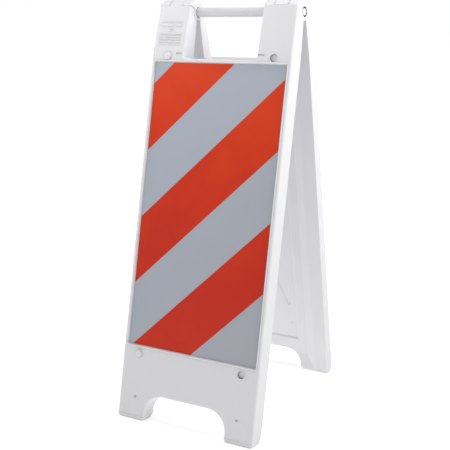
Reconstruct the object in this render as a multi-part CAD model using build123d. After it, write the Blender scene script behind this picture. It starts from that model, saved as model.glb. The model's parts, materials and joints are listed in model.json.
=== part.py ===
"""Folding A-frame traffic barrier.

Two hollow moulded leg panels turn on one tube, which is also the carrying handle.
Both panels are the same moulding. The rear one is turned half a turn about +Z.

Units are millimetres. +Z is up, +X runs across the barrier and the front faces -Y.
The origin lies on the floor, under the middle of the handle tube.

A panel is drawn in its own frame and leaned afterwards: the tube's axis is the X axis,
the panel hangs down along -Z, and its outer face looks along -Y.
"""
from build123d import *
import math
import os

# ---- driving dimensions -------------------------------------------------------------
LEAN = 12.4                 # each leg's lean from the vertical, in degrees
AXIS_HEIGHT = 859.5         # the tube's axis above the floor
BASE_WIDTH = 331.0          # panel width at the parting line, on the inner face
INNER_DEPTH = 2.8           # from the tube's axis to the inner face
OUTER_DEPTH = 41.4          # from the tube's axis to the outer face
DRAFT = 3.4                 # slope of the moulded side walls, in degrees
PANEL_REACH = 890.5         # the panel blank's length below the axis, before the feet are cut
WALL = 3.2                  # thickness of the moulded skin
EDGE_RADIUS = 5.0           # rounding of the outer face's edges
KNUCKLE_EDGE_RADIUS = 4.0   # rounding of the knuckles' outer edges

CROSSBAR_TOP = 103.3        # below the axis, at the parting line
HORN_WIDTH = 82.3           # width of the two arms that carry the tube, at their foot
ARM_TAPER = 3.0             # how much narrower each arm is at the tube, on its outer side
TAPER_START = 90.0          # below the axis, where the arms start to narrow
WINDOW_CORNER = 5.0
NOTCH_TOP = 830.0           # below the axis, at the parting line
NOTCH_HALF_WIDTH = 95.7
NOTCH_CORNER = 42.0
FOOT_CORNER = 10.0

SHEET_TOP = 114.8           # top edge of the reflective sheet, below the axis
SHEET_WIDTH = 304.8
SHEET_HEIGHT = 609.6
SHEET_THICKNESS = 0.6
SHEET_SINK = 3.0            # the sheet's face lies this far below the panel's outer face
SHEET_GAP = 0.7             # between the sheet's edge and the wall of its recess
BEAD_WIDTH = 4.6            # raised bead that frames the recess
BEAD_HEIGHT = 1.6
BEAD_CORNER = 4.0
RECESS_CORNER = 2.0
RECESS_FLARE = 25.0         # how far the wall of the recess leans outwards, in degrees
SHEET_CORNER = 1.0
STRIPE_WIDTH = 101.6        # square to the stripe
STRIPE_THICKNESS = 0.15
STRIPE_COUNT = 3
FIRST_STRIPE = 45.0         # across + down from the sheet's top left corner

TUBE_RADIUS = 9.5
TUBE_WALL = 2.6
TUBE_CLEARANCE = 0.05
TUBE_LENGTH = 316.0
PLUG_LENGTH = 16.0
PLUG_HEAD_LENGTH = 4.2      # brings the plug's head flush with the arm's outer side
PLUG_HEAD_ROUND = 1.0
PLUG_HEAD_RADIUS = 7.4
PLUG_WALL = 2.0
PLUG_FLOOR = 3.0
TUBE_RIM_RADIUS = 0.6
MOUTH_RADIUS = 10.4         # the wider mouth of the bore at each side of the barrier
MOUTH_OVERLAP = 1.5         # how far the mouth reaches past the tube's end
KNUCKLE_RADIUS = 17.5
SOCKET_CLEARANCE = 0.6
KNUCKLE_MIDDLE = 15.3       # half width of the middle knuckle in each arm
KNUCKLE_GAP = 0.6           # half of the gap between neighbouring knuckles
CAP_HALF_WIDTH = 28.5       # where the outer skin of the open barrier turns over the top
CAP_SHOULDER = 13.5         # height of that turn above the axis
CAP_TOP = 26.5              # height of the skin over the tube
SLOPE_START = 86.0          # below the axis, where the outer face starts to lean in
SLOPE_BLEND = 150.0         # radius that blends the flat face into the leaning one
STOP_GAP = 0.55             # between the heel and the lip that stop the opening

LUG_X = 123.4
LUG_DROPS = (101.0, 743.0)
LUG_RADIUS = 8.0
LUG_HEIGHT = 5.0
LUG_ROUND = 3.5
LUG_RIM_RADIUS = 10.6
LUG_RIM_HEIGHT = 0.8
CUP_RADIUS = 8.4
CUP_DEPTH = 4.4
RIM_ROUND = 0.9             # share of a rim's or bead's height that is rounded over
FOOT_DIMPLE_DROP = 837.0
DIMPLE_RADIUS = 6.0
DIMPLE_DEPTH = 2.4
VENT_RADIUS = 1.2
SLOT_X = 96.0
SLOT_DROP = 95.5
SLOT_WIDTH = 15.0
SLOT_HEIGHT = 4.0
SLOT_DEPTH = 1.4
MARK_X = 52.5
MARK_DROP = 108.0
MARK_WIDTH = 11.0
TOE_BAND = 12.0             # height of the band along the toe's lower edge
TOE_STEP = 2.5              # how far the band is set back from the outer face
TOE_BEVEL = 3.0             # height of the bevel under the band
TOE_SETBACK = 5.0           # from the outer face to the flat land
HEEL_REACH = 12.0           # the rounded heel takes this much off both faces of its corner
HEEL_MIDDLE = 4.7           # from that corner to the middle of the rounding

WELL_HALF_WIDTH = 134.0     # mouth of the sloping hollow in the inner face
WELL_FLOOR_HALF_WIDTH = 112.0
WELL_DEPTH = 11.0           # from the axis to the hollow's floor
WELL_TOP = 112.0
WELL_FLOOR_TOP = 124.0
WELL_BOTTOM = 874.0
WELL_FLOOR_BOTTOM = 838.0
CORE_HALF_WIDTH = 92.0      # the second, deeper step
CORE_FLOOR_HALF_WIDTH = 87.0
CORE_DEPTH = 14.0
CORE_TOP = 132.0
CORE_BOTTOM = 800.0
TACK_X = 71.0               # cups at the ends of the crossed grooves
TACK_DROPS = (361.0, 700.0)
TACK_RADIUS = 9.0
TACK_DEPTH = 2.4
SPOT_X = 76.0               # small marks below the crossed grooves
SPOT_DROP = 756.0
SPOT_RADIUS = 5.0
SPOT_DEPTH = 1.2
GROOVE_RADIUS = 9.0
GROOVE_DEPTH = 1.8
CHAMBER_DEPTH = 17.4        # the hollow inside the moulding
CHAMBER_OUTER = 34.6        # its outer side behind the sheet and the stacking cups
SHALLOW_DROPS = (86.0, 756.0)
CHAMBER_SIDE_WALL = 4.7     # skin beside the narrow side chambers
CHAMBER_INNER_WALL = 4.2
CHAMBER_TOP = 46.0
CHAMBER_BOTTOM = 862.0

# ---- worked out ---------------------------------------------------------------------
HALF_WIDTH = BASE_WIDTH / 2
ARM_INSIDE = HALF_WIDTH - HORN_WIDTH
ARM_OUTSIDE = HALF_WIDTH - ARM_TAPER
HORN_MIDDLE = (ARM_INSIDE + ARM_OUTSIDE) / 2
SHEET_FACE = OUTER_DEPTH - SHEET_SINK
RECESS_FLOOR = SHEET_FACE - SHEET_THICKNESS
RECESS_WIDTH = SHEET_WIDTH + 2 * SHEET_GAP
RECESS_HEIGHT = SHEET_HEIGHT + 2 * SHEET_GAP
SHEET_MIDDLE = SHEET_TOP + SHEET_HEIGHT / 2
FAR = 60.0                  # a length past any feature of the hinge
MARGIN = 8.0                # how far a cutting shape runs past what it cuts
BITE = 1.0                  # how deep an added shape is rooted in the panel
AXIS = (0, 0, AXIS_HEIGHT)


def face_plane(depth):
    """A plane parallel to the panel, at a depth from the axis; it looks outwards, along -Y."""
    return Plane(origin=(0, -depth, 0), x_dir=(1, 0, 0), z_dir=(0, -1, 0))


def side_plane(x):
    """A plane square to X: its x runs along +Y and its y along +Z."""
    return Plane(origin=(x, 0, 0), x_dir=(0, 1, 0), z_dir=(1, 0, 0))


def block(x0, x1, depth0, depth1, drop0, drop1):
    """A box between two X values, two depths from the axis, and two drops below it."""
    corner = Pos((x0 + x1) / 2, -(depth0 + depth1) / 2, -(drop0 + drop1) / 2)
    return corner * Box(x1 - x0, abs(depth1 - depth0), abs(drop1 - drop0))


def rod(x, drop, depth0, depth1, radius):
    """A cylinder square to the panel, from one depth to another."""
    plane = face_plane((depth0 + depth1) / 2)
    return plane * Pos(x, -drop) * Cylinder(radius, abs(depth1 - depth0))


def panel_outline(inset=0.0):
    """Front view of the panel: two feet, two arms, a hand window and a foot notch."""
    half = HALF_WIDTH - inset
    arm = HALF_WIDTH - HORN_WIDTH + inset
    foot = NOTCH_HALF_WIDTH + inset
    top = FAR
    shoulder = half - ARM_TAPER * (TAPER_START + top) / TAPER_START
    window = -(CROSSBAR_TOP + inset)
    notch = -(NOTCH_TOP - inset)
    bottom = -(PANEL_REACH - inset)
    points = [
        (-shoulder, top), (-arm, top), (-arm, window), (arm, window), (arm, top),
        (shoulder, top), (half, -TAPER_START), (half, bottom), (foot, bottom), (foot, notch),
        (-foot, notch), (-foot, bottom), (-half, bottom), (-half, -TAPER_START),
    ]
    face = make_face(Polyline(*points, close=True))
    corners = face.vertices()
    window_corners = [v for v in corners if abs(v.Y - window) < 0.01]
    notch_corners = [v for v in corners if abs(v.Y - notch) < 0.01]
    foot_corners = [v for v in corners if abs(v.Y - bottom) < 0.01]
    face = fillet(window_corners, WINDOW_CORNER)
    face = fillet([v for v in face.vertices() if matches(v, notch_corners)], NOTCH_CORNER)
    return fillet([v for v in face.vertices() if matches(v, foot_corners)], FOOT_CORNER)


def matches(vertex, wanted):
    """Whether a vertex stands where one of the wanted ones does."""
    return any(abs(vertex.X - w.X) < 0.01 and abs(vertex.Y - w.Y) < 0.01 for w in wanted)


def leaned(y, z, angle):
    """A point of the open barrier's side view, seen in a panel's own frame."""
    a = math.radians(angle)
    return (y * math.cos(a) - z * math.sin(a), y * math.sin(a) + z * math.cos(a))


def skin_profile():
    """Side view of the panel's blank, from the feet up over the tube to the heel.

    The heel ends on a line through the axis. It rests on the other panel's lip when the
    barrier stands open, so the shoulder it reaches is raised by the stop's gap.
    """
    front = leaned(-CAP_HALF_WIDTH, CAP_SHOULDER, LEAN)
    top = leaned(0, CAP_TOP, LEAN)
    heel = leaned(CAP_HALF_WIDTH, CAP_SHOULDER + STOP_GAP, LEAN)
    bottom = -PANEL_REACH - MARGIN
    outline = [
        Line((0, 0), (0, bottom)),
        Line((0, bottom), (-OUTER_DEPTH, bottom)),
        Line((-OUTER_DEPTH, bottom), (-OUTER_DEPTH, -SLOPE_START)),
        Line((-OUTER_DEPTH, -SLOPE_START), front),
        ThreePointArc(front, top, heel),
        Line(heel, (0, 0)),
    ]
    face = make_face(outline)
    crease = [v for v in face.vertices() if abs(v.X + OUTER_DEPTH) < 0.01 and v.Y > bottom / 2]
    return fillet(crease, SLOPE_BLEND)


def is_skin(face):
    """Whether a face belongs to the outer skin: the flat front, the slope above it or the cap."""
    normal = face.normal_at()
    if abs(normal.X) > 0.01:
        return False
    above_slope = face.center().Z > -SLOPE_START - 1
    return normal.Y < -0.9 or (above_slope and normal.Z > 0.05 and normal.Y < 0.6)


def skin_rim(blank):
    """Edges where the outer skin meets a side wall: those that only one skin face has.

    The straight edges at the parting plane and at the heel's end stay sharp.
    """
    edges = [edge for face in blank.faces() if is_skin(face) for edge in face.edges()]
    rim = [e for e in edges if sum(1 for other in edges if e.is_same(other)) == 1]
    return [e for e in rim if e.geom_type != GeomType.LINE or e.center().Y < -INNER_DEPTH - 1]


def panel_blank():
    """The panel's outer form, with rounded outer edges, before any hinge cut or recess."""
    outline = face_plane(INNER_DEPTH) * panel_outline()
    profile = extrude(side_plane(-HALF_WIDTH - MARGIN) * skin_profile(), BASE_WIDTH + 2 * MARGIN)
    drafted = extrude(outline, OUTER_DEPTH - INNER_DEPTH + MARGIN, taper=DRAFT) & profile
    far_side = extrude(outline, -FAR) & profile
    drafted = fillet(skin_rim(drafted), EDGE_RADIUS)
    knuckles = far_side & block(-BASE_WIDTH, BASE_WIDTH, INNER_DEPTH, -FAR, 0, -FAR)
    knuckles = fillet(skin_rim(knuckles), KNUCKLE_EDGE_RADIUS)
    return drafted + knuckles


def zones():
    """Spans along X of the hinge's six zones, and whether this panel owns the knuckle there.

    The left arm has this panel's middle knuckle and the right arm its two outer ones.
    """
    steps = [ARM_INSIDE, HORN_MIDDLE - KNUCKLE_MIDDLE,
             HORN_MIDDLE + KNUCKLE_MIDDLE, HALF_WIDTH]
    spans = []
    for side in (-1, 1):
        for index in range(3):
            low, high = sorted((side * steps[index], side * steps[index + 1]))
            middle = index == 1
            spans.append((low, high, middle == (side < 0)))
    return spans


def side_cut(points, low, high):
    """A prism along X over a polygon of the side view."""
    return extrude(side_plane(low) * make_face(Polyline(*points, close=True)), high - low)


def socket_cut(low, high):
    """Space for the other panel's knuckle: everything above the lip and a round pocket."""
    lip = leaned(-CAP_HALF_WIDTH * 3, CAP_SHOULDER * 3, LEAN)
    points = [(0, 0), lip, (-FAR * 2, FAR * 2), (FAR, FAR * 2), (FAR, -FAR), (-INNER_DEPTH, -FAR),
              (-INNER_DEPTH, 0)]
    pocket = side_plane(low) * Circle(KNUCKLE_RADIUS + SOCKET_CLEARANCE)
    return side_cut(points, low, high) + extrude(pocket, high - low)


def own_knuckle(low, high):
    """The round part of a knuckle on the far side of the parting plane, flush with the arm."""
    barrel = extrude(side_plane(low) * Circle(KNUCKLE_RADIUS), high - low)
    barrel = barrel & extrude(face_plane(INNER_DEPTH) * panel_outline(), -FAR)
    return barrel


def knuckle_span(low, high):
    """A knuckle's ends: short of its neighbours by the gap, flush at the arm's own sides."""
    ends = []
    for x, inward in ((low, 1), (high, -1)):
        at_arm_side = min(abs(abs(x) - HALF_WIDTH), abs(abs(x) - ARM_INSIDE)) < 0.01
        ends.append(x if at_arm_side else x + inward * KNUCKLE_GAP)
    return ends


def hinge_cuts(panel):
    """Cut the sockets, keep this panel's knuckles, and bore both arms for the tube."""
    for low, high, owned in zones():
        if owned:
            panel = panel + own_knuckle(*knuckle_span(low, high))
    for low, high, owned in zones():
        if not owned:
            panel = panel - socket_cut(low - KNUCKLE_GAP, high + KNUCKLE_GAP)
    bore = Rot(0, 90, 0) * Cylinder(TUBE_RADIUS + TUBE_CLEARANCE, BASE_WIDTH * 2)
    panel = panel - bore
    for side in (-1, 1):
        mouth = Rot(0, 90, 0) * Cylinder(MOUTH_RADIUS, FAR)
        panel = panel - Pos(side * (TUBE_LENGTH / 2 - MOUTH_OVERLAP + FAR / 2), 0, 0) * mouth
    return panel


def stacking_lugs(panel):
    """Domes on the left that enter the cups on the right of the next barrier in a stack."""
    for drop in LUG_DROPS:
        dome = rod(-LUG_X, drop, OUTER_DEPTH - BITE, OUTER_DEPTH + LUG_HEIGHT, LUG_RADIUS)
        dome = fillet(dome.edges().sort_by(Axis.Y)[0], LUG_ROUND)
        foot = rod(-LUG_X, drop, OUTER_DEPTH - BITE, OUTER_DEPTH + LUG_RIM_HEIGHT, LUG_RIM_RADIUS)
        rim = rod(LUG_X, drop, OUTER_DEPTH - BITE, OUTER_DEPTH + LUG_RIM_HEIGHT, LUG_RIM_RADIUS)
        cup = rod(LUG_X, drop, OUTER_DEPTH - CUP_DEPTH, OUTER_DEPTH + MARGIN, CUP_RADIUS)
        foot = fillet(foot.edges().sort_by(Axis.Y)[0], LUG_RIM_HEIGHT * RIM_ROUND)
        rim = fillet(rim.edges().sort_by(Axis.Y)[0], LUG_RIM_HEIGHT * RIM_ROUND)
        panel = panel + foot + dome + rim - cup
    return panel


def face_slot(x, drop, width, height, depth):
    """A shallow slot with round ends in the outer face."""
    outline = face_plane(OUTER_DEPTH - depth) * Pos(x, -drop) * SlotOverall(width, height)
    return extrude(outline, depth + MARGIN)


def sheet_recess(panel):
    """The recess that holds the reflective sheet, framed by a raised bead."""
    width = RECESS_WIDTH + 2 * BEAD_WIDTH
    height = RECESS_HEIGHT + 2 * BEAD_WIDTH
    frame = Pos(0, -SHEET_MIDDLE) * RectangleRounded(width, height, BEAD_CORNER)
    bead = extrude(face_plane(OUTER_DEPTH - BITE) * frame, BEAD_HEIGHT + BITE)
    top = bead.faces().sort_by(Axis.Y)[0]
    bead = fillet(top.edges(), BEAD_HEIGHT * RIM_ROUND)
    pocket = Pos(0, -SHEET_MIDDLE) * RectangleRounded(RECESS_WIDTH, RECESS_HEIGHT, RECESS_CORNER)
    mouth = OUTER_DEPTH + BEAD_HEIGHT + BITE - RECESS_FLOOR
    return panel + bead - extrude(face_plane(RECESS_FLOOR) * pocket, mouth, taper=-RECESS_FLARE)


def well(half_width, half_floor, depth0, depth1, drops, floor_drops):
    """A hollow with sloping sides, between its mouth at one depth and its floor at another."""
    outlines = []
    for half, depth, (top, bottom) in ((half_width, depth0, drops), (half_floor, depth1, floor_drops)):
        middle = Pos(0, -(top + bottom) / 2)
        outlines.append(face_plane(depth) * middle * Rectangle(2 * half, bottom - top))
    return loft(outlines, ruled=True)


def inner_wells(panel):
    """The stepped hollow of the inner face, its crossed grooves, tack-off cups and spots."""
    slope = (WELL_HALF_WIDTH - WELL_FLOOR_HALF_WIDTH) / (WELL_DEPTH - INNER_DEPTH)
    mouth = WELL_HALF_WIDTH + slope
    shift = (WELL_BOTTOM - WELL_FLOOR_BOTTOM) / (WELL_DEPTH - INNER_DEPTH)
    panel = panel - well(mouth, WELL_FLOOR_HALF_WIDTH, INNER_DEPTH - 1, WELL_DEPTH,
                         (WELL_TOP - slope, WELL_BOTTOM + shift),
                         (WELL_FLOOR_TOP, WELL_FLOOR_BOTTOM))
    panel = panel - well(CORE_HALF_WIDTH, CORE_FLOOR_HALF_WIDTH, WELL_DEPTH - 0.01, CORE_DEPTH,
                         (CORE_TOP, CORE_BOTTOM), (CORE_TOP + 4, CORE_BOTTOM - 4))
    length = math.hypot(2 * TACK_X, TACK_DROPS[1] - TACK_DROPS[0])
    tilt = math.degrees(math.atan2(2 * TACK_X, TACK_DROPS[1] - TACK_DROPS[0]))
    middle = -(TACK_DROPS[0] + TACK_DROPS[1]) / 2
    for turn in (-tilt, tilt):
        groove = Rot(0, turn, 0) * Cylinder(GROOVE_RADIUS, length)
        panel = panel - Pos(0, -(CORE_DEPTH - GROOVE_RADIUS + GROOVE_DEPTH), middle) * groove
    for drop in TACK_DROPS:
        for x in (-TACK_X, TACK_X):
            cup = Pos(x, TACK_RADIUS - TACK_DEPTH - CORE_DEPTH, -drop)
            panel = panel - cup * Sphere(TACK_RADIUS)
    for x in (-SPOT_X, SPOT_X):
        spot = Pos(x, SPOT_RADIUS - SPOT_DEPTH - CORE_DEPTH, -SPOT_DROP)
        panel = panel - spot * Sphere(SPOT_RADIUS)
    return panel


def chamber():
    """The hollow inside the moulding, one skin away from every outside face."""
    inset = WALL + math.tan(math.radians(DRAFT)) * (CHAMBER_DEPTH - INNER_DEPTH)
    outline = face_plane(CHAMBER_DEPTH) * panel_outline(inset)
    core = extrude(outline, OUTER_DEPTH - WALL - CHAMBER_DEPTH, taper=DRAFT)
    core = core & block(-HALF_WIDTH, HALF_WIDTH, 0, OUTER_DEPTH, CHAMBER_TOP, CHAMBER_BOTTOM)
    core = core - block(-HALF_WIDTH, HALF_WIDTH, CHAMBER_OUTER, OUTER_DEPTH, *SHALLOW_DROPS)
    front = leaned(-CAP_HALF_WIDTH, CAP_SHOULDER, LEAN)
    skin = [(WALL - OUTER_DEPTH, -SLOPE_START), (front[0] + WALL, front[1]), (-FAR, front[1]),
            (-FAR, -SLOPE_START)]
    core = core - side_cut(skin, -HALF_WIDTH, HALF_WIDTH)
    parts = [core]
    for side in (-1, 1):
        outer = side * (HALF_WIDTH - CHAMBER_SIDE_WALL)
        depths = (INNER_DEPTH + WALL, CHAMBER_DEPTH + BITE)
        rail = sorted((side * (WELL_HALF_WIDTH + CHAMBER_INNER_WALL), outer))
        parts.append(block(*rail, *depths, CHAMBER_TOP, CHAMBER_BOTTOM))
        arm = sorted((side * (ARM_INSIDE + CHAMBER_SIDE_WALL), outer))
        parts.append(block(*arm, *depths, CHAMBER_TOP, WELL_TOP - 2 * CHAMBER_INNER_WALL))
    hollow = parts[0]
    for part in parts[1:]:
        hollow = hollow + part
    return hollow


def floor_drop(depth):
    """How far below the axis the floor lies, at a depth of the leaning panel."""
    lean = math.radians(LEAN)
    return (AXIS_HEIGHT + depth * math.sin(lean)) / math.cos(lean)


def toe_cut():
    """What is cut from the toe: a band set back under a small ledge, and a bevel below it."""
    low = -PANEL_REACH - FAR
    outside = OUTER_DEPTH + FAR
    back = OUTER_DEPTH - TOE_STEP
    land = OUTER_DEPTH - TOE_SETBACK
    top = TOE_BAND - floor_drop(OUTER_DEPTH)
    points = [(-outside, top), (-OUTER_DEPTH, top), (-back, top - TOE_STEP / 2),
              (-back, TOE_BEVEL - floor_drop(back)), (-land, -floor_drop(land)), (-land, low),
              (-outside, low)]
    return side_cut(points, -HALF_WIDTH - MARGIN, HALF_WIDTH + MARGIN)


def heel_cut():
    """What is cut from the heel to round its lower inner edge."""
    lean = math.radians(LEAN)
    low = -PANEL_REACH - FAR
    corner = (-INNER_DEPTH, -floor_drop(INNER_DEPTH))
    upper = (corner[0], corner[1] + HEEL_REACH)
    lower = (corner[0] - HEEL_REACH * math.cos(lean), corner[1] - HEEL_REACH * math.sin(lean))
    inward = (-math.cos(lean), 1 - math.sin(lean))
    share = HEEL_MIDDLE / math.hypot(*inward)
    middle = (corner[0] + inward[0] * share, corner[1] + inward[1] * share)
    outline = [
        ThreePointArc(upper, middle, lower),
        Line(lower, (lower[0], low)),
        Line((lower[0], low), (FAR, low)),
        Line((FAR, low), (FAR, upper[1])),
        Line((FAR, upper[1]), upper),
    ]
    return extrude(side_plane(-HALF_WIDTH - MARGIN) * make_face(outline), BASE_WIDTH + 2 * MARGIN)


def foot_cuts(panel):
    """Cut the feet flat to the floor of the open barrier, and shape their toes and heels."""
    floor = Pos(0, 0, -AXIS_HEIGHT - FAR) * Box(BASE_WIDTH * 2, PANEL_REACH, FAR * 2)
    return panel - Rot(LEAN, 0, 0) * floor - toe_cut() - heel_cut()


def leg_panel():
    """One hollow leg panel in its own frame."""
    panel = hinge_cuts(panel_blank())
    panel = inner_wells(panel)
    panel = stacking_lugs(panel)
    panel = sheet_recess(panel)
    for x in (-SLOT_X, SLOT_X):
        panel = panel - face_slot(x, SLOT_DROP, SLOT_WIDTH, SLOT_HEIGHT, SLOT_DEPTH)
    panel = panel - face_slot(-MARK_X, MARK_DROP, MARK_WIDTH, SLOT_HEIGHT, SLOT_DEPTH / 2)
    panel = foot_cuts(panel)
    panel = panel - chamber()
    for x in (-LUG_X, LUG_X):
        dimple = Pos(x, -(OUTER_DEPTH + DIMPLE_RADIUS - DIMPLE_DEPTH), -FOOT_DIMPLE_DROP)
        panel = panel - dimple * Sphere(DIMPLE_RADIUS)
        panel = panel - rod(x, FOOT_DIMPLE_DROP, CHAMBER_OUTER - BITE, OUTER_DEPTH, VENT_RADIUS)
    return panel


def reflective_sheet():
    """The silver retroreflective sheet, flat on the floor of the recess."""
    outline = Pos(0, -SHEET_MIDDLE) * RectangleRounded(SHEET_WIDTH, SHEET_HEIGHT, SHEET_CORNER)
    return extrude(face_plane(RECESS_FLOOR) * outline, SHEET_THICKNESS)


def orange_stripes():
    """Orange film stripes on the sheet, each climbing from lower left to upper right."""
    pitch = STRIPE_WIDTH * math.sqrt(2)
    sheet = Pos(0, -SHEET_MIDDLE) * RectangleRounded(SHEET_WIDTH, SHEET_HEIGHT, SHEET_CORNER)
    stripes = []
    for index in range(STRIPE_COUNT):
        start = FIRST_STRIPE + 2 * index * pitch
        end = start + pitch
        left = -SHEET_WIDTH / 2
        band = Polyline((left, -SHEET_TOP - start), (left + start, -SHEET_TOP),
                        (left + end, -SHEET_TOP), (left, -SHEET_TOP - end), close=True)
        visible = make_face(band) & sheet
        stripes.append(extrude(face_plane(SHEET_FACE) * visible, STRIPE_THICKNESS))
    return Compound(children=stripes)


def handle_tube():
    """The tube that is both the hinge pin and the carrying handle."""
    inside = TUBE_RADIUS - TUBE_WALL
    solid = Cylinder(TUBE_RADIUS, TUBE_LENGTH) - Cylinder(inside, TUBE_LENGTH + MARGIN)
    circles = [e for e in solid.edges() if e.geom_type == GeomType.CIRCLE]
    rims = [e for e in circles if e.radius > inside + BITE]
    return Pos(*AXIS) * Rot(0, 90, 0) * fillet(rims, TUBE_RIM_RADIUS)


def end_plug(side):
    """A plug pressed into one end of the tube, with a head that fills the mouth of the bore."""
    shank_radius = TUBE_RADIUS - TUBE_WALL
    shank = Pos(0, 0, -PLUG_LENGTH / 2) * Cylinder(shank_radius, PLUG_LENGTH)
    head = Pos(0, 0, PLUG_HEAD_LENGTH / 2) * Cylinder(PLUG_HEAD_RADIUS, PLUG_HEAD_LENGTH)
    head = fillet(head.edges().sort_by(Axis.Z)[-1], PLUG_HEAD_ROUND)
    bore = Pos(0, 0, -PLUG_LENGTH / 2 - PLUG_FLOOR) * Cylinder(shank_radius - PLUG_WALL, PLUG_LENGTH)
    plug = shank - bore + head
    return Pos(side * TUBE_LENGTH / 2, 0, AXIS_HEIGHT) * Rot(0, side * 90, 0) * plug


def stand_up(shape, half_turn):
    """Lean a panel's piece, lift it to the axis, and turn it round for the rear leg."""
    return Rot(0, 0, 180 if half_turn else 0) * Pos(*AXIS) * Rot(-LEAN, 0, 0) * shape


def main():
    """Write every sub-part to its own file."""
    os.makedirs("parts", exist_ok=True)
    panel = leg_panel()
    sheet = reflective_sheet()
    stripes = orange_stripes()
    nodes = {
        "handle_tube": handle_tube(),
        "left_end_plug": end_plug(-1),
        "right_end_plug": end_plug(1),
    }
    for leg, half_turn in (("front", False), ("rear", True)):
        nodes[leg + "_leg_panel"] = stand_up(panel, half_turn)
        nodes[leg + "_reflective_sheet"] = stand_up(sheet, half_turn)
        nodes[leg + "_orange_stripes"] = stand_up(stripes, half_turn)
    for name, shape in nodes.items():
        export_step(shape, "parts/" + name + ".step")


if __name__ == "__main__":
    main()
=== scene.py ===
"""Looks of the folding A-frame traffic barricade: materials, moulded relief, studio and camera.

Units are metres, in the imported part's own frame: +Z up, +X across the barrier, front towards -Y.
"""
import json
import math
import random

import bmesh
import bpy
from mathutils import Matrix, Vector


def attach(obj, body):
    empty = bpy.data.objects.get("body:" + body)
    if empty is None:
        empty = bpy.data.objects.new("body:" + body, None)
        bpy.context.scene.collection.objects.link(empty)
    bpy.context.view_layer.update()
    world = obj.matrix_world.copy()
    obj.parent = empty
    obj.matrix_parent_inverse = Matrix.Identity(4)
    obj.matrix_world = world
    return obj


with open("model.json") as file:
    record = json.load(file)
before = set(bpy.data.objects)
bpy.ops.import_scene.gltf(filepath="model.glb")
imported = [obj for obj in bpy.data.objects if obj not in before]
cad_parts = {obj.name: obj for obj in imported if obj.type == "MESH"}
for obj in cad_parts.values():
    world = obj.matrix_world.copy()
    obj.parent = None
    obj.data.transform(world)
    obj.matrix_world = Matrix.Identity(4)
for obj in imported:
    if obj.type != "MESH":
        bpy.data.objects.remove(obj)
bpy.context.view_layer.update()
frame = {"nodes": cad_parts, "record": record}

# ---- places on the barrier --------------------------------------------------------------
LEAN = math.radians(12.4)       # each leg's lean from the vertical
AXIS_HEIGHT = 0.8595            # the handle tube's axis above the floor
OUTER_DEPTH = 0.0414            # from the axis to a panel's outer face
SLOPE_START = 0.086             # below the axis, where the outer face starts to lean in
SLOPE = 0.1146                  # how fast it leans in above that
BORE_MOUTH = 0.0105             # radius of the bore round the tube, painted near black there as shade
BORE_FADE = 0.0004              # width of that painted shade's soft rim
DIRT_HEIGHT = 0.055             # how far floor dirt reaches up the feet
TUBE_END = 0.158                # from the middle to the handle tube's cut ends
END_SHADE_FADE, END_SHADE_FULL = 0.004, 0.001       # before the tube's end: its painted shade begins, and is full
UNDERSIDE_SHADE_FADE, UNDERSIDE_SHADE_FULL = 0.003, 0.009     # below the axis: the tube's painted underside shade begins, and is full
ARM_SHADE_FROM, ARM_SHADE_TO = 0.070, 0.083       # across: where painted shade darkens the tube beside the arms

# ---- moulded relief ---------------------------------------------------------------------
SEED = 7
RELIEF_MIDDLE = -0.1235         # across: the middle of the block on the left arm
RELIEF_WIDTH = 0.056
RIB_STEPS = 8                   # faces round each end of a rib
RIB_ROOT = 0.0004               # how deep a rib is sunk into the panel
RIB_PROFILE = ((1.0, 0.35), (0.82, 0.85), (0.50, 1.0))  # shares of its radius and height
RIB_GAP = 0.0016                # between neighbouring ribs
CUT_MARGIN = 0.008              # from a row's end to its nearest cut
SHORT_RIB = 0.005               # half the length of a rib that has a row to itself

# ---- linear colours ---------------------------------------------------------------------
SKIN_WHITE, SKIN_PALE = (0.745, 0.745, 0.770), (0.765, 0.765, 0.785)
# the second colour here is a painted highlight for the plastic's edges
SKIN_GRAIN, SKIN_PAINTED_EDGE_HIGHLIGHT = (0.71, 0.71, 0.735), (0.93, 0.93, 0.94)
SKIN_SCUFF, SKIN_DIRT = (0.55, 0.55, 0.56), (0.50, 0.48, 0.45)
# both colours here are painted shade: one for creases, one for the bores round the tube
SKIN_PAINTED_CREASE_SHADE, BORE_PAINTED_SHADE = (0.31, 0.31, 0.325), (0.07, 0.07, 0.074)
SILVER_COOL, SILVER_PALE = (0.400, 0.432, 0.505), (0.425, 0.460, 0.530)
# the first colour here is a painted sheen for the film's lower parts towards +X
SILVER_PAINTED_SHEEN, SILVER_SHADE = (0.395, 0.398, 0.440), (0.30, 0.33, 0.375)
SILVER_BEAD = (0.50, 0.535, 0.58)
# the orange with painted shade low down, and with painted light high up
ORANGE_PAINTED_SHADE_LOW, ORANGE_PAINTED_LIGHT_HIGH = (0.555, 0.024, 0.009), (0.700, 0.052, 0.010)
ORANGE_BEAD, ORANGE_EDGE = (0.74, 0.060, 0.020), (0.45, 0.03, 0.010)
TUBE_GREY, TUBE_PALE = (0.625, 0.625, 0.650), (0.675, 0.675, 0.695)
# the second colour here is painted shade for the tube's underside
TUBE_HANDLED, TUBE_PAINTED_UNDERSIDE_SHADE = (0.56, 0.56, 0.58), (0.36, 0.36, 0.375)
# the first colour here is painted shade for the tube beside the arms, the second a painted
# highlight for its edges
TUBE_PAINTED_ARM_SHADE, TUBE_PAINTED_EDGE_HIGHLIGHT = (0.52, 0.52, 0.54), (0.80, 0.80, 0.81)
# painted shade, near black, for the tube's ends inside the bores
TUBE_END_PAINTED_SHADE = (0.060, 0.062, 0.066)
PLUG_WHITE, PLUG_PALE = (0.840, 0.840, 0.850), (0.885, 0.885, 0.890)
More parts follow.
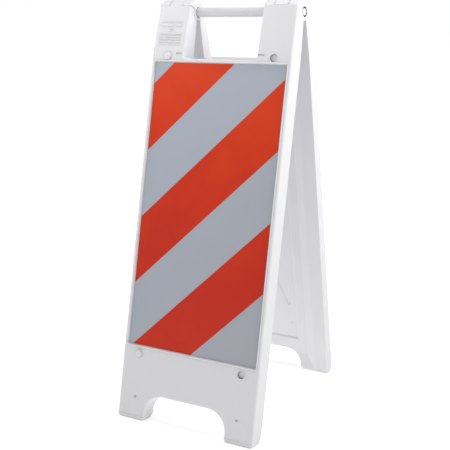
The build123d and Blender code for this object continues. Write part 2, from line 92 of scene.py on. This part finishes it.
# painted highlight for the plugs' edges, and painted shade for their creases
PLUG_PAINTED_EDGE_HIGHLIGHT, PLUG_PAINTED_CREASE_SHADE = (0.92, 0.92, 0.92), (0.10, 0.10, 0.105)
FLOOR_WHITE, FLOOR_SHADE = (0.90, 0.90, 0.90), 0.985
WHITE = (1.0, 1.0, 1.0, 1.0)

# ---- textures: scale per metre, detail, roughness ---------------------------------------
SKIN_FINE, SKIN_TOOTH, SKIN_WAVE = (1500, 3, 0.6), (420, 2, 0.5), (16, 2, 0.45)
SKIN_CLOUD, SKIN_SCRATCH, SKIN_SPLASH = (5, 3, 0.55), (90, 4, 0.7), (60, 4, 0.65)
SCRATCH_STRETCH = (1.0, 0.35, 5.0)
BEAD_SCALE = 2600               # glass beads per metre in the reflective film
FILM_WAVE, SILVER_SPECK, SILVER_CLOUD = (9, 2, 0.4), (700, 3, 0.6), (4, 3, 0.5)
ORANGE_CLOUD, ORANGE_GLOSS = (9, 4, 0.55), (300, 3, 0.6)
TUBE_LINES, TUBE_HAND, TUBE_FINE = (1.0, 4, 0.6), (38, 4, 0.6), (1300, 2, 0.5)
LINE_STRETCH = (14, 900, 900)   # draw lines run along the tube
PLUG_SPECK, PLUG_CLOUD = (900, 3, 0.6), (120, 3, 0.55)
FLOOR_TONE = (1.3, 2, 0.5)
NOISE_BAND = (0.3, 0.7)         # the part of a noise's range that most of it falls in
BEAD_BAND = (0.0, 0.35)         # from a bead's middle to its rim

# ---- studio -----------------------------------------------------------------------------
FLOOR_RADIUS, FLOOR_SIDES = 60.0, 96
NEAR_GLOW, FAR_GLOW = 0.45, 0.84        # the floor's own light, near and far
GLOW_START, GLOW_FULL = 0.3, 2.2        # distances from the object
HORIZON_LEVEL, SKY_LEVEL = 1.0, 0.27
HORIZON_TOP, SKY_START = 0.04, 0.22     # heights on a unit sphere, between which they blend
AREA_LIGHTS = [                         # name, place, target, size, watts
    ("light_left_high", (-0.70, -0.75, 1.35), (-0.1, 0.0, 0.8), (0.5, 0.5), 3.3),
    ("light_left_side", (-2.2, 0.0, 0.9), (0.0, 0.0, 0.45), (1.2, 1.6), 15.0),
    ("light_right_high", (1.2, 0.1, 1.7), (0.1, 0.0, 0.75), (0.8, 0.8), 16.0),
    ("light_top", (0.0, 0.0, 1.9), (0.0, 0.0, 0.8), (0.9, 0.5), 4.5),
]
CAMERA_PLACE = (0.8188, -1.5939, 0.8342)
CAMERA_PITCH, CAMERA_HEADING, CAMERA_ROLL = 13.73, 27.64, 0.07      # degrees
CAMERA_LENS, SENSOR_WIDTH = 66.06, 36.0                             # millimetres
CAMERA_SHIFT = (-0.0022, 0.0031)
CAMERA_REACH = 200.0

MIX_A, MIX_B, MIX_RESULT = 6, 7, 2      # the colour sockets of a Mix node


# ---- node graphs ------------------------------------------------------------------------
class Graph:
    """A material with one Principled shader, built from short calls."""

    def __init__(self, name, **constants):
        self.material = bpy.data.materials.new(name)
        self.material.use_nodes = True
        self.tree = self.material.node_tree
        self.tree.nodes.clear()
        self.shader = self.tree.nodes.new("ShaderNodeBsdfPrincipled")
        output = self.tree.nodes.new("ShaderNodeOutputMaterial")
        self.tree.links.new(self.shader.outputs["BSDF"], output.inputs["Surface"])
        for socket, value in constants.items():
            self.shader.inputs[socket.replace("_", " ")].default_value = value
        self.place = self.tree.nodes.new("ShaderNodeTexCoord").outputs["Object"]
        self.geometry = self.tree.nodes.new("ShaderNodeNewGeometry")

    def put(self, socket, value):
        """Feed a socket with another node's output, or with a number or colour."""
        if isinstance(value, bpy.types.NodeSocket):
            self.tree.links.new(value, socket)
        else:
            if isinstance(value, (tuple, list)) and len(value) == 3 and socket.type == "RGBA":
                value = (*value, 1.0)
            socket.default_value = value

    def shade(self, **values):
        """Feed the shader's own sockets."""
        for name, value in values.items():
            self.put(self.shader.inputs[name.replace("_", " ")], value)

    def stretch(self, scale):
        """The object coordinates, stretched along each axis."""
        node = self.tree.nodes.new("ShaderNodeMapping")
        self.put(node.inputs["Vector"], self.place)
        self.put(node.inputs["Scale"], scale)
        return node.outputs["Vector"]

    def noise(self, texture, place=None):
        """A noise, from its scale, detail and roughness."""
        scale, detail, roughness = texture
        node = self.tree.nodes.new("ShaderNodeTexNoise")
        self.put(node.inputs["Vector"], place or self.place)
        self.put(node.inputs["Scale"], scale)
        self.put(node.inputs["Detail"], detail)
        self.put(node.inputs["Roughness"], roughness)
        return node.outputs["Fac"]

    def beads(self):
        """Distance from the middle of the nearest glass bead."""
        node = self.tree.nodes.new("ShaderNodeTexVoronoi")
        self.put(node.inputs["Vector"], self.place)
        self.put(node.inputs["Scale"], BEAD_SCALE)
        return node.outputs["Distance"]

    def span(self, value, low, high, to_low=0.0, to_high=1.0):
        """Map low..high to to_low..to_high, held at both ends."""
        node = self.tree.nodes.new("ShaderNodeMapRange")
        self.put(node.inputs["Value"], value)
        self.put(node.inputs["From Min"], low)
        self.put(node.inputs["From Max"], high)
        self.put(node.inputs["To Min"], to_low)
        self.put(node.inputs["To Max"], to_high)
        return node.outputs["Result"]

    def math(self, operation, a, b=0.0):
        node = self.tree.nodes.new("ShaderNodeMath")
        node.operation = operation
        self.put(node.inputs[0], a)
        self.put(node.inputs[1], b)
        return node.outputs["Value"]

    def distance(self, a, b):
        """Length of a line whose two parts are at right angles."""
        squares = self.math("ADD", self.math("MULTIPLY", a, a), self.math("MULTIPLY", b, b))
        return self.math("SQRT", squares)

    def mix(self, factor, a, b):
        node = self.tree.nodes.new("ShaderNodeMix")
        node.data_type = "RGBA"
        self.put(node.inputs["Factor"], factor)
        self.put(node.inputs[MIX_A], a)
        self.put(node.inputs[MIX_B], b)
        return node.outputs[MIX_RESULT]

    def cover(self, base, mask, share, colour):
        """Lay a share of a colour over a base where a mask says so."""
        return self.mix(self.math("MULTIPLY", mask, share), base, colour)

    def axis(self, letter):
        """One coordinate of the place, in metres."""
        node = self.tree.nodes.new("ShaderNodeSeparateXYZ")
        self.put(node.inputs["Vector"], self.place)
        return node.outputs[letter]

    def edges(self, radius):
        """0 on open faces, rising to 1 on sharp edges."""
        bevel = self.tree.nodes.new("ShaderNodeBevel")
        bevel.samples = 4
        self.put(bevel.inputs["Radius"], radius)
        dot = self.tree.nodes.new("ShaderNodeVectorMath")
        dot.operation = "DOT_PRODUCT"
        self.put(dot.inputs[0], bevel.outputs["Normal"])
        self.put(dot.inputs[1], self.geometry.outputs["Normal"])
        return self.span(dot.outputs["Value"], 1.0, 0.8)

    def creases(self, reach):
        """0 in the open, rising to 1 deep in corners, gaps and holes: the mask for painted shade.
        """
        shelter = self.tree.nodes.new("ShaderNodeAmbientOcclusion")
        shelter.samples = 6
        self.put(shelter.inputs["Distance"], reach)
        return self.span(shelter.outputs["AO"], 0.97, 0.42)

    def off_axis(self):
        """Distance from the handle tube's axis."""
        up = self.math("SUBTRACT", self.axis("Z"), AXIS_HEIGHT)
        return self.distance(up, self.axis("Y"))

    def bump(self, *layers):
        """Stack bump layers, each a (height, distance, strength)."""
        normal = None
        for height, distance, strength in layers:
            node = self.tree.nodes.new("ShaderNodeBump")
            self.put(node.inputs["Height"], height)
            self.put(node.inputs["Distance"], distance)
            self.put(node.inputs["Strength"], strength)
            if normal:
                self.put(node.inputs["Normal"], normal)
            normal = node.outputs["Normal"]
        self.shade(Normal=normal)


# ---- materials --------------------------------------------------------------------------
def polyethylene():
    """White blow-moulded polyethylene: fine grain, soft waves, a little dirt low down, a painted
    highlight on the edges, painted shade in creases and painted shade in the tube's bores.
    """
    g = Graph("white_polyethylene_skin", Specular_IOR_Level=0.42)
    fine, grain, wave = g.noise(SKIN_FINE), g.noise(SKIN_TOOTH), g.noise(SKIN_WAVE)
    cloud = g.noise(SKIN_CLOUD)
    scratch = g.noise(SKIN_SCRATCH, g.stretch(SCRATCH_STRETCH))
    scuffs = g.math("MULTIPLY", g.span(scratch, 0.66, 0.74), g.span(cloud, 0.52, 0.66))
    # mask for the painted highlight on sharp edges and the bead round the film
    edge = g.edges(0.0016)
    # mask for painted shade in corners, gaps and holes
    painted_crease_shade = g.creases(0.005)
    low = g.span(g.axis("Z"), DIRT_HEIGHT, 0.0)
    dirt = g.math("MULTIPLY", low, g.span(g.noise(SKIN_SPLASH), 0.40, 0.72))
    # painted shade: the skin inside the tube's bores is painted near black
    bore_shade = g.span(g.off_axis(), BORE_MOUTH + BORE_FADE, BORE_MOUTH)
    base = g.mix(g.span(cloud, *NOISE_BAND), SKIN_WHITE, SKIN_PALE)
    base = g.cover(base, g.span(grain, 0.35, 0.65), 0.10, SKIN_GRAIN)
    # painted highlight: every sharp edge is made lighter
    base = g.cover(base, edge, 0.85, SKIN_PAINTED_EDGE_HIGHLIGHT)
    base = g.cover(base, scuffs, 0.10, SKIN_SCUFF)
    base = g.cover(base, dirt, 0.16, SKIN_DIRT)
    # painted shade: corners, gaps and holes are made darker
    base = g.cover(base, painted_crease_shade, 0.80, SKIN_PAINTED_CREASE_SHADE)
    # the bores' painted shade is laid over everything else
    base = g.mix(bore_shade, base, BORE_PAINTED_SHADE)
    rough = g.span(grain, *NOISE_BAND, 0.40, 0.50)
    rough = g.math("ADD", rough, g.math("MULTIPLY", scuffs, 0.15))
    rough = g.math("SUBTRACT", rough, g.math("MULTIPLY", edge, 0.10))
    g.shade(Base_Color=base, Roughness=rough)
    g.bump((wave, 0.0016, 0.30), (grain, 0.00035, 0.25), (fine, 0.00012, 0.30))
    return g.material


def silver_film():
    """Silver retroreflective film: tiny beads, with a painted sheen that is cooler high up and
    warmer low down towards +X.
    """
    g = Graph("silver_reflective_film_face", Metallic=0.10, Specular_IOR_Level=0.30,
              Coat_Weight=0.06, Coat_Roughness=0.16)
    beads, specks, cloud = g.beads(), g.noise(SILVER_SPECK), g.noise(SILVER_CLOUD)
    # painted sheen: the colour drifts with height and across, standing in for the film's
    # reflection
    height = g.math("SUBTRACT", g.axis("Z"), g.math("MULTIPLY", g.axis("X"), 1.6))
    painted_sheen = g.span(g.math("ADD", height, g.math("MULTIPLY", cloud, 0.3)), 0.75, -0.05)
    cool = g.mix(g.span(cloud, *NOISE_BAND), SILVER_COOL, SILVER_PALE)
    base = g.mix(painted_sheen, cool, SILVER_PAINTED_SHEEN)
    base = g.cover(base, g.span(specks, 0.35, 0.7), 0.16, SILVER_SHADE)
    base = g.cover(base, g.span(beads, *BEAD_BAND), 0.12, SILVER_BEAD)
    g.shade(Base_Color=base, Roughness=g.span(specks, *NOISE_BAND, 0.36, 0.46))
    g.bump((g.noise(FILM_WAVE), 0.0006, 0.25), (beads, 0.00004, 0.35))
    return g.material


def orange_film():
    """Orange-red film over the same beads, with darker cut edges; painted light makes it brighter
    high up and painted shade deeper low down.
    """
    g = Graph("orange_reflective_film_face", Specular_IOR_Level=0.16, Coat_Weight=0.04,
              Coat_Roughness=0.14)
    beads, cloud = g.beads(), g.noise(ORANGE_CLOUD)
    drift = g.span(cloud, *NOISE_BAND, -0.3, 0.3)
    # painted light and shade: the film is brighter with height, drifting with noise
    high = g.math("ADD", g.span(g.axis("Z"), 0.35, 0.80), drift)
    base = g.mix(g.span(high, 0.0, 1.0), ORANGE_PAINTED_SHADE_LOW, ORANGE_PAINTED_LIGHT_HIGH)
    base = g.cover(base, g.span(beads, *BEAD_BAND), 0.12, ORANGE_BEAD)
    base = g.cover(base, g.edges(0.0012), 0.25, ORANGE_EDGE)
    gloss = g.span(g.noise(ORANGE_GLOSS), *NOISE_BAND, 0.30, 0.42)
    g.shade(Base_Color=base, Roughness=gloss)
    g.bump((g.noise(FILM_WAVE), 0.0006, 0.25), (beads, 0.00004, 0.35))
    return g.material


def tube_plastic():
    """Extruded white tube: long faint draw lines, patchy hand grime, painted shade below the axis,
    beside the arms and at the ends, and a painted highlight on its edges.
    """
    g = Graph("white_tube_skin", Specular_IOR_Level=0.40)
    lines = g.noise(TUBE_LINES, g.stretch(LINE_STRETCH))
    hand = g.noise(TUBE_HAND)
    off_middle = g.math("ABSOLUTE", g.axis("X"))
    # painted shade on the tube next to the arms, broken up by noise
    arm_shade = g.math("MULTIPLY", g.span(off_middle, ARM_SHADE_FROM, ARM_SHADE_TO), g.span(hand, 0.45, 0.65))
    # painted shade: the tube is darker below its axis
    underside_shade = g.span(g.axis("Z"), AXIS_HEIGHT - UNDERSIDE_SHADE_FADE, AXIS_HEIGHT - UNDERSIDE_SHADE_FULL)
    # painted shade: the tube's ends inside the bores go near black
    cut = g.span(off_middle, TUBE_END - END_SHADE_FADE, TUBE_END - END_SHADE_FULL)
    base = g.mix(g.span(lines, 0.35, 0.65), TUBE_GREY, TUBE_PALE)
    base = g.cover(base, g.span(hand, 0.55, 0.75), 0.20, TUBE_HANDLED)
    base = g.cover(base, underside_shade, 0.45, TUBE_PAINTED_UNDERSIDE_SHADE)
    base = g.cover(base, arm_shade, 0.35, TUBE_PAINTED_ARM_SHADE)
    # painted highlight: the tube's sharp edges are made lighter
    base = g.cover(base, g.edges(0.0008), 0.5, TUBE_PAINTED_EDGE_HIGHLIGHT)
    base = g.mix(cut, base, TUBE_END_PAINTED_SHADE)
    g.shade(Base_Color=base, Roughness=g.span(hand, *NOISE_BAND, 0.44, 0.56))
    g.bump((lines, 0.00012, 0.30), (g.noise(TUBE_FINE), 0.00006, 0.25))
    return g.material


def plug_plastic():
    """Moulded end plugs: bright satin white, with a painted highlight at the edge and painted
    shade in the creases.
    """
    g = Graph("white_plug_skin", Specular_IOR_Level=0.45)
    speck, cloud = g.noise(PLUG_SPECK), g.noise(PLUG_CLOUD)
    base = g.mix(g.span(cloud, *NOISE_BAND), PLUG_WHITE, PLUG_PALE)
    # painted highlight on the plug's edges
    base = g.cover(base, g.edges(0.0005), 0.4, PLUG_PAINTED_EDGE_HIGHLIGHT)
    # painted shade in the plug's creases and gaps
    base = g.cover(base, g.creases(0.004), 0.85, PLUG_PAINTED_CREASE_SHADE)
    g.shade(Base_Color=base, Roughness=g.span(speck, *NOISE_BAND, 0.36, 0.46))
    g.bump((speck, 0.00006, 0.3), (cloud, 0.0002, 0.2))
    return g.material


def floor_paint():
    """A matt floor that glows softly, more so away from the object, like a lit studio sweep."""
    g = Graph("studio_floor_paint", Roughness=0.9, Specular_IOR_Level=0.1, Emission_Color=WHITE)
    tone = g.span(g.noise(FLOOR_TONE), *NOISE_BAND)
    away = g.distance(g.axis("X"), g.axis("Y"))
    base = g.mix(tone, FLOOR_WHITE, tuple(c * FLOOR_SHADE for c in FLOOR_WHITE))
    glow = g.span(away, GLOW_START, GLOW_FULL, NEAR_GLOW, FAR_GLOW)
    g.shade(Base_Color=base, Emission_Strength=glow)
    return g.material


MATERIALS = {
    "white_polyethylene": polyethylene(),
    "silver_reflective_film": silver_film(),
    "orange_reflective_film": orange_film(),
    "white_tube": tube_plastic(),
    "white_plug": plug_plastic(),
}


def dress_cad_nodes():
    """Give every CAD node its slot's material."""
    for part in frame["record"]["subparts"]:
        node = frame["nodes"][part["node"]]
        node.data.materials.clear()
        node.data.materials.append(MATERIALS[part["material_slot"]])


# ---- pieces -----------------------------------------------------------------------------
def add_object(name, mesh_data, material):
    """Put a bmesh into the scene as an object."""
    mesh = bpy.data.meshes.new(name)
    mesh_data.to_mesh(mesh)
    mesh_data.free()
    thing = bpy.data.objects.new(name, mesh)
    bpy.context.scene.collection.objects.link(thing)
    mesh.materials.append(material)
    return thing


def panel_matrix(half_turn):
    """From a panel's own frame (tube axis on X, panel hanging along -Z) to the barrier's."""
    turn = Matrix.Rotation(math.pi if half_turn else 0.0, 4, "Z")
    return turn @ Matrix.Translation((0, 0, AXIS_HEIGHT)) @ Matrix.Rotation(-LEAN, 4, "X")


def face_depth(drop):
    """Depth of the outer face at a drop below the axis, on an arm."""
    return OUTER_DEPTH - SLOPE * max(0.0, SLOPE_START - drop)


def add_rib(mesh, left, right, drop, width, height):
    """A low rib with round ends, lying across the arm and slightly sunk into it."""
    radius = width / 2
    rings = [(1.0, -RIB_ROOT)] + [(share, height * rise) for share, rise in RIB_PROFILE]
    loops = []
    for share, lift in rings:
        loop = []
        for step in range(2 * RIB_STEPS + 2):
            end, turn = divmod(step, RIB_STEPS + 1)
            angle = math.pi / 2 + math.pi * turn / RIB_STEPS + math.pi * end
            centre = left + radius if end == 0 else right - radius
            x = centre + radius * share * math.cos(angle)
            down = drop - radius * share * math.sin(angle)
            loop.append(mesh.verts.new((x, -face_depth(down) - lift, -down)))
        loops.append(loop)
    for lower, upper in zip(loops, loops[1:]):
        for i in range(len(lower)):
            j = (i + 1) % len(lower)
            mesh.faces.new((lower[i], lower[j], upper[j], upper[i]))
    mesh.faces.new(loops[-1])
    mesh.faces.new(list(reversed(loops[0])))


def relief_rows():
    """Rows of the block: drop below the axis, rib width, rib height, ribs in the row."""
    rows = [(0.0270, 0.0020, 0.0008, 3), (0.0345, 0.0056, 0.0011, 2)]
    rows += [(0.0425 + 0.0045 * i, 0.0024, 0.0009, 1) for i in range(2)]
    rows += [(0.0540 + 0.0056 * i, 0.0026, 0.0010, 4) for i in range(5)]
    return rows


def add_relief(name, body, half_turn):
    """A plain block of short ribs, moulded into the face of the panel's left arm."""
    draw = random.Random(SEED)
    mesh = bmesh.new()
    left, right = RELIEF_MIDDLE - RELIEF_WIDTH / 2, RELIEF_MIDDLE + RELIEF_WIDTH / 2
    for drop, width, height, count in relief_rows():
        if count == 1:
            start, end = RELIEF_MIDDLE - SHORT_RIB, RELIEF_MIDDLE + SHORT_RIB
            add_rib(mesh, start, end, drop, width, height)
            continue
        cuts = sorted(draw.uniform(left + CUT_MARGIN, right - CUT_MARGIN)
                      for _ in range(count - 1))
        for start, end in zip([left] + cuts, cuts + [right]):
            if end - start > width * 2:
                add_rib(mesh, start, end - RIB_GAP, drop, width, height)
    bmesh.ops.recalc_face_normals(mesh, faces=mesh.faces)
    mesh.transform(panel_matrix(half_turn))
    piece = add_object(name, mesh, MATERIALS["white_polyethylene"])
    for polygon in piece.data.polygons:
        polygon.use_smooth = True
    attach(piece, body)


# ---- studio and camera ------------------------------------------------------------------
def add_floor():
    """A wide pale floor."""
    sheet = bmesh.new()
    bmesh.ops.create_circle(sheet, cap_ends=True, segments=FLOOR_SIDES, radius=FLOOR_RADIUS)
    add_object("studio_floor", sheet, floor_paint())


def add_world():
    """Studio surroundings: white round the horizon, easing to an even, dimmer level above."""
    world = bpy.data.worlds.new("studio")
    bpy.context.scene.world = world
    world.use_nodes = True
    tree = world.node_tree
    direction = tree.nodes.new("ShaderNodeTexCoord").outputs["Generated"]
    split = tree.nodes.new("ShaderNodeSeparateXYZ")
    tree.links.new(direction, split.inputs["Vector"])
    ease = tree.nodes.new("ShaderNodeMapRange")
    tree.links.new(split.outputs["Z"], ease.inputs["Value"])
    ease.inputs["From Min"].default_value = HORIZON_TOP
    ease.inputs["From Max"].default_value = SKY_START
    ease.inputs["To Min"].default_value = HORIZON_LEVEL
    ease.inputs["To Max"].default_value = SKY_LEVEL
    background = tree.nodes["Background"]
    background.inputs["Color"].default_value = WHITE
    tree.links.new(ease.outputs["Result"], background.inputs["Strength"])


def add_area_light(name, place, target, size, power):
    data = bpy.data.lights.new(name, "AREA")
    data.shape = "RECTANGLE"
    data.size, data.size_y = size
    data.energy = power
    lamp = bpy.data.objects.new(name, data)
    bpy.context.scene.collection.objects.link(lamp)
    lamp.location = place
    lamp.rotation_euler = (Vector(target) - Vector(place)).to_track_quat("-Z", "Y").to_euler()


def add_camera():
    """To the right of the front, a little above, looking slightly down."""
    data = bpy.data.cameras.new("camera")
    data.sensor_width = SENSOR_WIDTH
    data.lens = CAMERA_LENS
    data.shift_x, data.shift_y = CAMERA_SHIFT
    data.clip_end = CAMERA_REACH
    data.dof.use_dof = False
    camera = bpy.data.objects.new("camera", data)
    bpy.context.scene.collection.objects.link(camera)
    heading = Matrix.Rotation(math.radians(CAMERA_HEADING), 4, "Z")
    pitch = Matrix.Rotation(math.pi / 2 - math.radians(CAMERA_PITCH), 4, "X")
    roll = Matrix.Rotation(math.radians(CAMERA_ROLL), 4, "Z")
    camera.location = CAMERA_PLACE
    camera.rotation_euler = (heading @ pitch @ roll).to_euler()
    bpy.context.scene.camera = camera


dress_cad_nodes()
add_relief("front_moulded_relief", "front_leg", False)
add_relief("rear_moulded_relief", "rear_leg", True)
add_floor()
add_world()
for light in AREA_LIGHTS:
    add_area_light(*light)
add_camera()
bpy.context.scene.view_settings.view_transform = "Standard"
